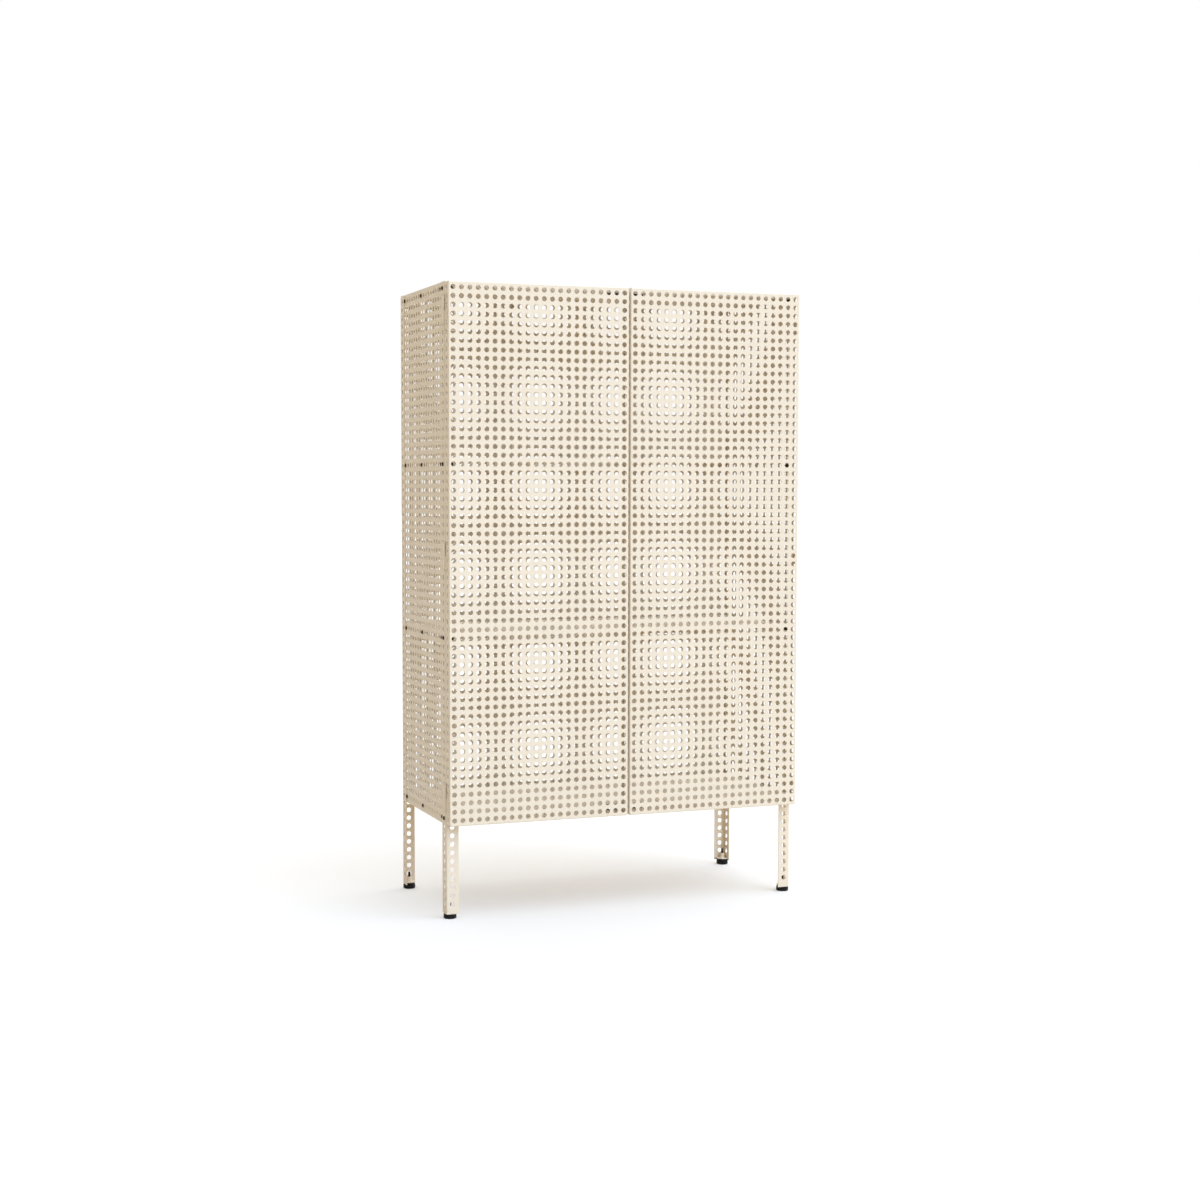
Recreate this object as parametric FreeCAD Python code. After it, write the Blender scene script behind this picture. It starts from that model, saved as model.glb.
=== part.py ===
import FreeCAD, Part
import math
import os

os.makedirs("parts", exist_ok=True)

# Frame: millimetres, +Z up, the doors face -Y, the floor is z = 0.
# The origin is on the floor, under the middle of the whole outline: the doors' faces
# bound it in front and the heads of the back bolts behind.

# Overall size, measured between the outer faces of the posts and doors.
WIDTH = 890.0
DEPTH = 400.0
HEIGHT = 1470.0

# Perforation: round holes on a square pitch, the same in every perforated sheet.
PITCH = 20.0
HOLE_D = 12.0
ROWS = 62
PUNCHED_AT_ONCE = 8
FIRST_ROW_Z = 235.0
SIDE_COLUMNS = 18
SIDE_BOLT_COLUMNS = (0, 1, 9, 16)
BACK_COLUMNS = 44
DOOR_COLUMNS = 22
EDGE_TO_ROW = 15.0

# Sheet thicknesses and the inside radius of every fold.
SHEET = 1.2
POST_SHEET = 2.0
FOLD_R = 0.8

# Carcass.
POST_FLANGE = 30.0
POST_CLEAR_FLOOR = 11.0
POST_HOLES = 72
CARCASS_BOTTOM = FIRST_ROW_Z - EDGE_TO_ROW
PANEL_CORNER_GAP = 1.5
PANEL_MEET_GAP = 0.3

# Trays: the top, two shelves and the bottom. Their flanges are punched with one row of
# holes on the same pitch, and bolted along it.
LEVEL_BOTTOM = FIRST_ROW_Z
LEVEL_LOWER = 655.0
LEVEL_UPPER = 1055.0
LEVEL_TOP = HEIGHT - EDGE_TO_ROW
SHELF_FLANGE = 20.0
END_FLANGE = 25.0

# Doors: folded pans, 3 mm in front of the posts, 5 mm apart in the middle.
DOOR_DEPTH = 27.0
DOOR_GAP_BACK = 3.0
DOOR_GAP_MIDDLE = 5.0
DOOR_REVEAL = 2.0
DOOR_LIP = 12.0
DOOR_RETURN_ROW = 15.0

# Bolts M5 x 10 with button heads, and their nuts.
BOLT_D = 5.0
BOLT_HOLE_D = 5.5
BOLT_HEAD_D = 9.5
BOLT_HEAD_H = 2.8
BOLT_LENGTH = 10.0
BOLT_CROWN_D = 5.6
BOLT_POINT = 0.5
SOCKET_AF = 3.0
SOCKET_DEPTH = 1.6
NUT_AF = 8.0
NUT_H = 4.0
THREAD_FIT = 0.05
BACK_BOLT_X = 150.0

# Hinges: two knuckles on one pin, the upper on the post, the lower on the door.
HINGE_LEVELS = (285.0, 845.0, 1405.0)
HINGE_HALF = 32.0
HINGE_LEAF = 14.5
HINGE_SHEET = 1.2
KNUCKLE_R = 3.0
KNUCKLE_OFF_FACE = 0.3
KNUCKLE_GAP = 0.8
PIN_R = 1.6
PIN_FIT = 0.05
PIN_HEAD_R = 2.6
PIN_HEAD_H = 1.2
PIN_TAIL_GAP = 0.3

# Feet: black glides under the posts, each on a screw through a corner plate.
FOOT_R = 15.0
FOOT_INSET = 12.5
FOOT_RISE = 4.0
FOOT_EDGE = 1.5
FOOT_WALL_GAP = 0.2
FOOT_SCREW_R = 3.0
FOOT_SCREW_FIT = 0.2
FOOT_SCREW_TOP = 41.0
FOOT_SCREW_HEAD_R = 5.0
FOOT_SCREW_HEAD_H = 2.5
FOOT_SCREW_RECESS = 1.0
FOOT_SCREW_POINT = 1.0
PLATE_SIDE = 25.0
PLATE_CUT = 9.0
PLATE_SHEET = 2.0
COLLAR_BASE_R = 6.0
COLLAR_TOP_R = 4.4
COLLAR_H = 12.0

# Magnetic catches, one under the top and one on the bottom, behind the door gap.
CATCH_LENGTH = 90.0
CATCH_HEIGHT = 12.0
CATCH_DEPTH = 4.7
CATCH_EDGE = 1.0
CATCH_FROM_END = 13.0
MAGNET_LENGTH = 10.0
MAGNET_HEIGHT = 6.0
MAGNET_DEPTH = 3.0
MAGNET_X = 8.5
CATCH_SCREW_X = 2 * PITCH
CATCH_SCREW_R = 1.5
CATCH_SCREW_FIT = 0.1
CATCH_SCREW_HEAD_R = 2.8
CATCH_SCREW_SINK = 1.6
CATCH_SCREW_LENGTH = 9.0

# Every cut runs past the face that it opens by this much.
OVERRUN = 0.5

HALF_WIDTH = WIDTH / 2
DOOR_FACE_Y = -(DEPTH + BOLT_HEAD_H) / 2
DOOR_REAR_Y = DOOR_FACE_Y + DOOR_DEPTH
CARCASS_FRONT_Y = DOOR_REAR_Y + DOOR_GAP_BACK
CARCASS_REAR_Y = DOOR_FACE_Y + DEPTH
PANEL_OUTER_X = HALF_WIDTH - POST_SHEET
PANEL_INNER_X = PANEL_OUTER_X - SHEET
TRAY_FRONT_Y = CARCASS_FRONT_Y + POST_SHEET
TRAY_REAR_Y = CARCASS_REAR_Y - POST_SHEET - SHEET
FRONT_COLUMN_Y = CARCASS_FRONT_Y + EDGE_TO_ROW
CORNER_COLUMN_X = HALF_WIDTH - EDGE_TO_ROW
SIDE_COLUMN_Y = [FRONT_COLUMN_Y + PITCH * k for k in range(SIDE_COLUMNS)]
BACK_COLUMN_X = [PITCH * k - CORNER_COLUMN_X for k in range(BACK_COLUMNS)]
ROW_Z = [FIRST_ROW_Z + PITCH * k for k in range(ROWS)]
POST_ROW_Z = [LEVEL_TOP - PITCH * k for k in range(POST_HOLES)]
LEVELS = (LEVEL_BOTTOM, LEVEL_LOWER, LEVEL_UPPER, LEVEL_TOP)
SIDE_BOLT_Y = [SIDE_COLUMN_Y[k] for k in SIDE_BOLT_COLUMNS]
BACK_BOLTS_X = (-CORNER_COLUMN_X, -BACK_BOLT_X, BACK_BOLT_X, CORNER_COLUMN_X)
FOLD_OUT = FOLD_R + SHEET
DOOR_BOTTOM = CARCASS_BOTTOM + DOOR_REVEAL
DOOR_TOP = HEIGHT - DOOR_REVEAL
HINGE_X = HALF_WIDTH + KNUCKLE_OFF_FACE + KNUCKLE_R
HINGE_Y = (DOOR_REAR_Y + CARCASS_FRONT_Y) / 2

X_AXIS = FreeCAD.Vector(1, 0, 0)
Y_AXIS = FreeCAD.Vector(0, 1, 0)
Z_AXIS = FreeCAD.Vector(0, 0, 1)
ORIGIN = FreeCAD.Vector(0, 0, 0)


def save(name, *solids):
    shape = solids[0] if len(solids) == 1 else Part.makeCompound(list(solids))
    shape.exportStep("parts/" + name + ".step")


def box(x0, x1, y0, y1, z0, z1):
    return Part.makeBox(x1 - x0, y1 - y0, z1 - z0, FreeCAD.Vector(x0, y0, z0))


def rod(r, x, y, z, height, axis=Z_AXIS):
    return Part.makeCylinder(r, height, FreeCAD.Vector(x, y, z), axis)


def prism(points, z0, z1):
    wire = Part.makePolygon([FreeCAD.Vector(x, y, z0) for x, y in points + points[:1]])
    return Part.Face(wire).extrude(FreeCAD.Vector(0, 0, z1 - z0))


def mirrored(shape):
    return shape.mirror(ORIGIN, X_AXIS)


def flipped_rear(shape):
    return shape.mirror(ORIGIN, Y_AXIS)


def strip(points):
    # A folded sheet seen end on: the points are its corners and arc ends in XY,
    # and a point with a third value is where the arc to the next one bows through.
    edges = []
    for here, there in zip(points, points[1:] + points[:1]):
        start = FreeCAD.Vector(here[0], here[1], 0)
        end = FreeCAD.Vector(there[0], there[1], 0)
        if len(here) > 2:
            through = FreeCAD.Vector(here[2][0], here[2][1], 0)
            edges.append(Part.Arc(start, through, end).toShape())
        else:
            edges.append(Part.LineSegment(start, end).toShape())
    return Part.Face(Part.Wire(edges))


def arc_point(cx, cy, r, sx, sy):
    reach = r / math.sqrt(2)
    return (cx + sx * reach, cy + sy * reach)


def angle_profile(side, flange, sheet, inner_r):
    # An L with its corner at the origin, legs along +X and +Y.
    outer_r = inner_r + sheet
    bow_out = arc_point(outer_r, outer_r, outer_r, -1, -1)
    bow_in = arc_point(outer_r, outer_r, inner_r, -1, -1)
    return strip([
        (outer_r, 0),
        (side, 0),
        (side, sheet),
        (outer_r, sheet, bow_in),
        (sheet, outer_r),
        (sheet, flange),
        (0, flange),
        (0, outer_r, bow_out),
    ])


def holes_through(centres, axis, start, length):
    # centres: (point in the plane, point in the plane, radius) of each hole.
    tools = []
    for a, b, r in centres:
        if axis == "x":
            tools.append(rod(r, start, a, b, length, X_AXIS))
        elif axis == "y":
            tools.append(rod(r, a, start, b, length, Y_AXIS))
        else:
            tools.append(rod(r, a, b, start, length, Z_AXIS))
    return Part.makeCompound(tools)


def punched_sheet(a0, a1, z0, z1, columns, radius_at, axis, at, thickness):
    # A flat upright sheet, punched in bands of a few rows that join into one solid.
    def place(a, z):
        return FreeCAD.Vector(at, a, z) if axis == "x" else FreeCAD.Vector(a, at, z)
    normal = X_AXIS if axis == "x" else Y_AXIS
    rim_axis = -X_AXIS if axis == "x" else Y_AXIS
    bands = []
    for first in range(0, ROWS, PUNCHED_AT_ONCE):
        rows = ROW_Z[first:first + PUNCHED_AT_ONCE]
        low = rows[0] - PITCH / 2 if first else z0
        high = rows[-1] + PITCH / 2 if rows[-1] < ROW_Z[-1] else z1
        corners = [(a0, low), (a1, low), (a1, high), (a0, high), (a0, low)]
        wires = [Part.makePolygon([place(a, z) for a, z in corners])]
        for a in columns:
            for z in rows:
                rim = Part.makeCircle(radius_at(a, z), place(a, z), rim_axis)
                wires.append(Part.Wire(rim))
        bands.append(Part.Face(wires).extrude(normal * thickness))
    return bands[0].multiFuse(bands[1:]).Solids[0]


def full_radius(along, level):
    return HOLE_D / 2


def bolt_radius(along, level, bolt_columns):
    fixed = any(abs(along - b) < PITCH / 2 for b in bolt_columns)
    if fixed and any(abs(level - z) < PITCH / 2 for z in LEVELS):
        return BOLT_HOLE_D / 2
    return HOLE_D / 2


# Corner posts
def post(front):
    profile = angle_profile(POST_FLANGE, POST_FLANGE, POST_SHEET, POST_SHEET / 2)
    bar = profile.extrude(FreeCAD.Vector(0, 0, HEIGHT - POST_CLEAR_FLOOR))
    bar.translate(FreeCAD.Vector(0, 0, POST_CLEAR_FLOOR))
    side_holes = []
    end_holes = []
    for z in POST_ROW_Z:
        at_level = any(abs(z - level) < PITCH / 2 for level in LEVELS)
        small = BOLT_HOLE_D / 2 if at_level else HOLE_D / 2
        unbolted = front and z < LEVEL_BOTTOM + PITCH / 2
        side_holes.append((EDGE_TO_ROW, z, small if front else HOLE_D / 2))
        end_holes.append((EDGE_TO_ROW, z, HOLE_D / 2 if unbolted else small))
    through = POST_SHEET + 2 * OVERRUN
    bar = bar.cut(holes_through(side_holes, "x", -OVERRUN, through))
    bar = bar.cut(holes_through(end_holes, "y", -OVERRUN, through))
    bar.translate(FreeCAD.Vector(-HALF_WIDTH, CARCASS_FRONT_Y, 0))
    return bar


post_front_left = post(True)
post_rear_left = post(False)
post_rear_left.translate(FreeCAD.Vector(0, -CARCASS_FRONT_Y, 0))
post_rear_left = flipped_rear(post_rear_left)
post_rear_left.translate(FreeCAD.Vector(0, CARCASS_REAR_Y, 0))
save("post_front_left", post_front_left)
save("post_front_right", mirrored(post_front_left))
save("post_rear_left", post_rear_left)
save("post_rear_right", mirrored(post_rear_left))


# Perforated side and back panels
def side_radius(y, z):
    return bolt_radius(y, z, SIDE_BOLT_Y)


def back_radius(x, z):
    return bolt_radius(x, z, BACK_BOLTS_X)


def front_radius(x, z):
    # The lowest level has no bolts in front.
    if z == LEVEL_BOTTOM:
        return full_radius(x, z)
    return bolt_radius(x, z, (-CORNER_COLUMN_X, CORNER_COLUMN_X))


side_y0 = TRAY_FRONT_Y + PANEL_CORNER_GAP
side_y1 = CARCASS_REAR_Y - POST_SHEET - PANEL_CORNER_GAP
side_panel_left = punched_sheet(side_y0, side_y1, CARCASS_BOTTOM, HEIGHT, SIDE_COLUMN_Y,
                                side_radius, "x", -PANEL_OUTER_X, SHEET)
save("side_panel_left", side_panel_left)
save("side_panel_right", mirrored(side_panel_left))

back_x = PANEL_INNER_X - PANEL_MEET_GAP
back_panel = punched_sheet(-back_x, back_x, CARCASS_BOTTOM, HEIGHT, BACK_COLUMN_X,
                           back_radius, "y", TRAY_REAR_Y, SHEET)
save("back_panel", back_panel)


# Folded trays: the top, the two shelves and the bottom
def flange_holes(columns, level, radius_at):
    # The flanges of the bottom have bolt holes alone.
    holes = [(c, level, radius_at(c, level)) for c in columns]
    return [h for h in holes if level != LEVEL_BOTTOM or h[2] < HOLE_D / 2]


def tray(level, surface_z, flange):
    x1 = PANEL_INNER_X
    y0 = TRAY_FRONT_Y
    y1 = TRAY_REAR_Y
    z0 = surface_z - flange
    plate = box(FOLD_OUT - x1, x1 - FOLD_OUT, y0 + FOLD_OUT, y1 - FOLD_OUT,
                surface_z - SHEET, surface_z)
    edge = strip([
        (FOLD_OUT, 0, arc_point(FOLD_OUT, -FOLD_OUT, FOLD_OUT, -1, 1)),
        (0, -FOLD_OUT),
        (0, -flange),
        (SHEET, -flange),
        (SHEET, -FOLD_OUT, arc_point(FOLD_OUT, -FOLD_OUT, FOLD_R, -1, 1)),
        (FOLD_OUT, -SHEET),
    ])
    # The end-on strip is stood up, so that its second value becomes the height.
    edge.rotate(ORIGIN, X_AXIS, 90)
    side = edge.extrude(FreeCAD.Vector(0, y1 - y0 - 2 * FOLD_OUT, 0))
    side.translate(FreeCAD.Vector(-x1, y0 + FOLD_OUT, surface_z))
    edge.rotate(ORIGIN, Z_AXIS, 90)
    front = edge.extrude(FreeCAD.Vector(2 * (x1 - FOLD_OUT), 0, 0))
    front.translate(FreeCAD.Vector(FOLD_OUT - x1, y0, surface_z))
    rear = front.mirror(FreeCAD.Vector(0, (y0 + y1) / 2, 0), Y_AXIS)
    body = plate.fuse([side, mirrored(side), front, rear])
    across = 2 * (x1 + OVERRUN)
    sides = flange_holes(SIDE_COLUMN_Y, level, side_radius)
    body = body.cut(holes_through(sides, "x", -x1 - OVERRUN, across))
    through = SHEET + 2 * OVERRUN
    fronts = flange_holes(BACK_COLUMN_X, level, front_radius)
    fronts += [(x, z, r) for x, z, r in catch_screw_points(level)]
    body = body.cut(holes_through(fronts, "y", y0 - OVERRUN, through))
    backs = flange_holes(BACK_COLUMN_X, level, back_radius)
    body = body.cut(holes_through(backs, "y", y1 - SHEET - OVERRUN, through))
    return body.removeSplitter()


def catch_height(level):
    # Middle height of the catch on the top or the bottom tray.
    if level == LEVEL_TOP:
        return HEIGHT - CATCH_FROM_END - CATCH_HEIGHT / 2
    return CARCASS_BOTTOM + CATCH_FROM_END + CATCH_HEIGHT / 2


def catch_screw_points(level):
    if level in (LEVEL_LOWER, LEVEL_UPPER):
        return []
    z = catch_height(level)
    r = CATCH_SCREW_R + CATCH_SCREW_FIT
    return [(-CATCH_SCREW_X, z, r), (CATCH_SCREW_X, z, r)]


save("top_panel", tray(LEVEL_TOP, HEIGHT, END_FLANGE))
save("shelf_upper", tray(LEVEL_UPPER, LEVEL_UPPER + SHELF_FLANGE / 2, SHELF_FLANGE))
save("shelf_lower", tray(LEVEL_LOWER, LEVEL_LOWER + SHELF_FLANGE / 2, SHELF_FLANGE))
save("bottom_panel", tray(LEVEL_BOTTOM, CARCASS_BOTTOM + END_FLANGE, END_FLANGE))


# Bolts and nuts
def turned(points, dome_through):
    # A solid of revolution: points are (radius, height), and the first edge is the dome.
    ends = [FreeCAD.Vector(r, 0, z) for r, z in points]
    through = FreeCAD.Vector(dome_through[0], 0, dome_through[1])
    edges = [Part.Arc(ends[0], through, ends[1]).toShape()]
    for start, end in zip(ends[1:], ends[2:] + ends[:1]):
        edges.append(Part.LineSegment(start, end).toShape())
    return Part.Face(Part.Wire(edges)).revolve(ORIGIN, Z_AXIS, 360)


def hexagon(across_flats, z0, z1):
    corner = across_flats / math.sqrt(3)
    turns = [math.radians(60 * k) for k in range(6)]
    return prism([(corner * math.cos(t), corner * math.sin(t)) for t in turns], z0, z1)


def bolt():
    # The underside of the head lies at z = 0 and the shank points along -Z.
    crown = BOLT_CROWN_D / 2
    rim = BOLT_HEAD_D / 2
    shank = BOLT_D / 2
    shoulder = ((crown + 2 * rim) / 3, BOLT_HEAD_H * 2 / 3)
    body = turned([
        (crown, BOLT_HEAD_H), (rim, 0), (shank, 0), (shank, BOLT_POINT - BOLT_LENGTH),
        (shank - BOLT_POINT, -BOLT_LENGTH), (0, -BOLT_LENGTH), (0, BOLT_HEAD_H),
    ], shoulder)
    return body.cut(hexagon(SOCKET_AF, BOLT_HEAD_H - SOCKET_DEPTH, BOLT_HEAD_H + OVERRUN))


def nut():
    # The face against the sheet lies at z = 0 and the nut stands along -Z. A cone takes
    # the corners off at 30 degrees.
    slope = math.sqrt(3)
    cone = Part.makeCone(NUT_AF / 2, NUT_AF / 2 + NUT_H * slope, NUT_H,
                         FreeCAD.Vector(0, 0, -NUT_H))
    hole = rod(BOLT_D / 2 + THREAD_FIT, 0, 0, -NUT_H - OVERRUN, NUT_H + 2 * OVERRUN)
    return hexagon(NUT_AF, -NUT_H, 0).common(cone).cut(hole)


def placed(shape, x, y, z, out):
    # out is the direction that the head faces.
    turn = FreeCAD.Rotation(Z_AXIS, out)
    copy = shape.copy()
    copy.Placement = FreeCAD.Placement(FreeCAD.Vector(x, y, z), turn)
    return copy


plain_bolt = bolt()
plain_nut = nut()
side_bolts = []
side_nuts = []
for z in LEVELS:
    for y in SIDE_BOLT_Y:
        head_x = HALF_WIDTH if y == SIDE_BOLT_Y[0] else PANEL_OUTER_X
        side_bolts.append(placed(plain_bolt, -head_x, y, z, -X_AXIS))
        side_nuts.append(placed(plain_nut, SHEET - PANEL_INNER_X, y, z, -X_AXIS))
front_bolts = []
front_nuts = []
back_bolts = []
back_nuts = []
for z in LEVELS[1:]:
    for x in (-CORNER_COLUMN_X, CORNER_COLUMN_X):
        front_bolts.append(placed(plain_bolt, x, CARCASS_FRONT_Y, z, -Y_AXIS))
        front_nuts.append(placed(plain_nut, x, TRAY_FRONT_Y + SHEET, z, -Y_AXIS))
for z in LEVELS:
    for x in BACK_BOLTS_X:
        at_post = abs(x) == CORNER_COLUMN_X
        head_y = CARCASS_REAR_Y if at_post else CARCASS_REAR_Y - POST_SHEET
        back_bolts.append(placed(plain_bolt, x, head_y, z, Y_AXIS))
        back_nuts.append(placed(plain_nut, x, TRAY_REAR_Y - SHEET, z, Y_AXIS))
save("side_bolts_left", *side_bolts)
save("side_bolts_right", *[mirrored(b) for b in side_bolts])
save("side_nuts_left", *side_nuts)
save("side_nuts_right", *[mirrored(n) for n in side_nuts])
save("front_bolts", *front_bolts)
save("front_nuts", *front_nuts)
save("back_bolts", *back_bolts)
save("back_nuts", *back_nuts)


# Feet, corner plates and foot screws
def foot():
    base = rod(FOOT_R, 0, 0, 0, POST_CLEAR_FLOOR)
    rim = [e for e in base.Edges if isinstance(e.Curve, Part.Circle)]
    base = base.makeChamfer(FOOT_EDGE, rim)
    inner = rod(FOOT_R - FOOT_EDGE, 0, 0, POST_CLEAR_FLOOR, FOOT_RISE)
    wall = POST_SHEET + FOOT_WALL_GAP - FOOT_INSET
    keep = box(wall, FOOT_R, wall, FOOT_R, 0, POST_CLEAR_FLOOR + FOOT_RISE)
    corner = FreeCAD.Vector(wall, wall, 0)
    upright = [e for e in keep.Edges
               if abs(e.CenterOfMass.x - corner.x) + abs(e.CenterOfMass.y - corner.y) < OVERRUN / 2]
    keep = keep.makeFillet(POST_SHEET, upright)
    body = base.fuse(inner.common(keep))
    hole = rod(FOOT_SCREW_R + FOOT_SCREW_FIT, 0, 0, -OVERRUN, HEIGHT)
    deep = FOOT_SCREW_RECESS + FOOT_SCREW_HEAD_H
    seat = rod(FOOT_SCREW_HEAD_R + FOOT_SCREW_FIT, 0, 0, -OVERRUN, deep + OVERRUN)
    return body.cut(hole).cut(seat)


def foot_screw():
    z0 = FOOT_SCREW_RECESS
    head = rod(FOOT_SCREW_HEAD_R, 0, 0, z0, FOOT_SCREW_HEAD_H)
    shank = rod(FOOT_SCREW_R, 0, 0, z0, FOOT_SCREW_TOP - FOOT_SCREW_POINT - z0)
    tip = Part.makeCone(FOOT_SCREW_R, FOOT_SCREW_R - FOOT_SCREW_POINT, FOOT_SCREW_POINT,
                        FreeCAD.Vector(0, 0, FOOT_SCREW_TOP - FOOT_SCREW_POINT))
    return head.fuse([shank, tip]).removeSplitter()


def corner_plate():
    wall = POST_SHEET - FOOT_INSET
    far = wall + PLATE_SIDE
    z0 = POST_CLEAR_FLOOR + FOOT_RISE
    z1 = z0 + PLATE_SHEET
    points = [
        (wall + POST_SHEET, wall), (far, wall), (far, far - PLATE_CUT),
        (far - PLATE_CUT, far), (wall, far), (wall, wall + POST_SHEET),
    ]
    plate = prism(points, z0, z1)
    collar = Part.makeCone(COLLAR_BASE_R, COLLAR_TOP_R, COLLAR_H, FreeCAD.Vector(0, 0, z1))
    bore = rod(FOOT_SCREW_R + THREAD_FIT, 0, 0, z0 - OVERRUN, HEIGHT)
    return plate.fuse(collar).cut(bore)


foot_x = HALF_WIDTH - FOOT_INSET
foot_y = CARCASS_FRONT_Y + FOOT_INSET
rear_foot_y = CARCASS_REAR_Y - FOOT_INSET
screws = []
for name, shape in (("foot", foot()), ("foot_plate", corner_plate()), ("screw", foot_screw())):
    front_left = shape.copy()
    front_left.translate(FreeCAD.Vector(-foot_x, foot_y, 0))
    rear_left = flipped_rear(shape)
    rear_left.translate(FreeCAD.Vector(-foot_x, rear_foot_y, 0))
    corners = {
        "front_left": front_left,
        "front_right": mirrored(front_left),
        "rear_left": rear_left,
        "rear_right": mirrored(rear_left),
    }
    if name == "screw":
        save("foot_screws", *corners.values())
    else:
        for where, piece in corners.items():
            save(name + "_" + where, piece)


# Magnetic catches
def catch_parts(level):
    z = catch_height(level)
    y1 = TRAY_FRONT_Y
    y0 = y1 - CATCH_DEPTH
    half = CATCH_LENGTH / 2
    low = z - CATCH_HEIGHT / 2
    body = box(-half, half, y0, y1, low, low + CATCH_HEIGHT)
    body = body.makeChamfer(CATCH_EDGE, [e for e in body.Edges
                                         if abs(e.CenterOfMass.y - y0) < OVERRUN / 2])
    magnets = []
    for side in (-MAGNET_X, MAGNET_X):
        x0 = side - MAGNET_LENGTH / 2
        z0 = z - MAGNET_HEIGHT / 2
        magnets.append(box(x0, x0 + MAGNET_LENGTH, y0, y0 + MAGNET_DEPTH,
                           z0, z0 + MAGNET_HEIGHT))
    for magnet in magnets:
        body = body.cut(magnet)
    screws = []
    for side in (-CATCH_SCREW_X, CATCH_SCREW_X):
        wide = CATCH_SCREW_HEAD_R
        sink = CATCH_SCREW_SINK
        cone = Part.makeCone(wide, CATCH_SCREW_R, sink, FreeCAD.Vector(side, y0, z), Y_AXIS)
        shank = rod(CATCH_SCREW_R, side, y0, z, CATCH_SCREW_LENGTH, Y_AXIS)
        screw = cone.fuse(shank).removeSplitter()
        slot = box(side - wide, side + wide, y0 - OVERRUN, y0 + sink / 3,
                   z - CATCH_SCREW_R / 4, z + CATCH_SCREW_R / 4)
        bore = rod(CATCH_SCREW_R + CATCH_SCREW_FIT, side, y0 - OVERRUN, z,
                   CATCH_DEPTH + 2 * OVERRUN, Y_AXIS)
        body = body.cut(cone).cut(bore)
        screws.append(screw.cut(slot))
    return body, magnets, screws


catch_screws = []
catch_magnets = []
for where, level in (("upper", LEVEL_TOP), ("lower", LEVEL_BOTTOM)):
    housing, magnets, its_screws = catch_parts(level)
    save("catch_housing_" + where, housing)
    catch_magnets += magnets
    catch_screws += its_screws
save("catch_magnets", *catch_magnets)
save("catch_screws", *catch_screws)


# Doors
def door():
    x0 = -HALF_WIDTH
    x1 = -DOOR_GAP_MIDDLE / 2
    y0 = DOOR_FACE_Y
    y1 = DOOR_REAR_Y
    z0 = DOOR_BOTTOM
    z1 = DOOR_TOP
    margin = ((x1 - x0) - PITCH * (DOOR_COLUMNS - 1)) / 2
    columns = [x0 + margin + PITCH * k for k in range(DOOR_COLUMNS)]
    r = HOLE_D / 2
    face = punched_sheet(x0 + FOLD_OUT, x1 - FOLD_OUT, z0 + FOLD_OUT, z1 - FOLD_OUT,
                         columns, full_radius, "y", y0, SHEET)
    row_y = y0 + DOOR_RETURN_ROW
    through = SHEET + 2 * OVERRUN

    # Side return with a lip behind it, along +Y from the fold at the door's face.
    deep = DOOR_DEPTH
    side_profile = strip([
        (FOLD_OUT, 0, arc_point(FOLD_OUT, FOLD_OUT, FOLD_OUT, -1, -1)),
        (0, FOLD_OUT),
        (0, deep - FOLD_OUT, arc_point(FOLD_OUT, deep - FOLD_OUT, FOLD_OUT, -1, 1)),
        (FOLD_OUT, deep),
        (DOOR_LIP, deep),
        (DOOR_LIP, deep - SHEET),
        (FOLD_OUT, deep - SHEET, arc_point(FOLD_OUT, deep - FOLD_OUT, FOLD_R, -1, 1)),
        (SHEET, deep - FOLD_OUT),
        (SHEET, FOLD_OUT, arc_point(FOLD_OUT, FOLD_OUT, FOLD_R, -1, -1)),
        (FOLD_OUT, SHEET),
    ])
    side = side_profile.extrude(FreeCAD.Vector(0, 0, z1 - z0 - 2 * FOLD_OUT))
    side.translate(FreeCAD.Vector(x0, y0, z0 + FOLD_OUT))
    row_holes = [(row_y, z, r) for z in ROW_Z]
    side = side.cut(holes_through(row_holes, "x", x0 - OVERRUN, through))
    other = side.mirror(FreeCAD.Vector((x0 + x1) / 2, 0, 0), X_AXIS)

    # Top and bottom returns, plain at the rear edge.
    end_profile = strip([
        (FOLD_OUT, 0, arc_point(FOLD_OUT, FOLD_OUT, FOLD_OUT, -1, -1)),
        (0, FOLD_OUT),
        (0, deep),
        (SHEET, deep),
        (SHEET, FOLD_OUT, arc_point(FOLD_OUT, FOLD_OUT, FOLD_R, -1, -1)),
        (FOLD_OUT, SHEET),
    ])
    end_profile.rotate(ORIGIN, Y_AXIS, -90)
    end = end_profile.extrude(FreeCAD.Vector(x1 - x0 - 2 * FOLD_OUT, 0, 0))
    end.translate(FreeCAD.Vector(x0 + FOLD_OUT, y0, z0))
    end_holes = [(x, row_y, r) for x in columns]
    end = end.cut(holes_through(end_holes, "z", z0 - OVERRUN, through))
    top = end.mirror(FreeCAD.Vector(0, 0, (z0 + z1) / 2), Z_AXIS)
    return face.fuse([side, other, end, top])


door_left = door()
save("door_left_panel", door_left)
save("door_right_panel", mirrored(door_left))


# Hinges
def leaf(z0, z1, towards):
    # towards is +1 for the leaf on the post and -1 for the leaf on the door.
    knuckle = rod(KNUCKLE_R, -HINGE_X, HINGE_Y, z0, z1 - z0)
    y0, y1 = sorted((HINGE_Y, HINGE_Y + towards * HINGE_LEAF))
    plate = box(-HALF_WIDTH - HINGE_SHEET, -HALF_WIDTH, y0, y1, z0, z1)
    bore = rod(PIN_R + PIN_FIT, -HINGE_X, HINGE_Y, z0 - OVERRUN, z1 - z0 + 2 * OVERRUN)
    return knuckle.fuse(plate).cut(bore)


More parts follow.
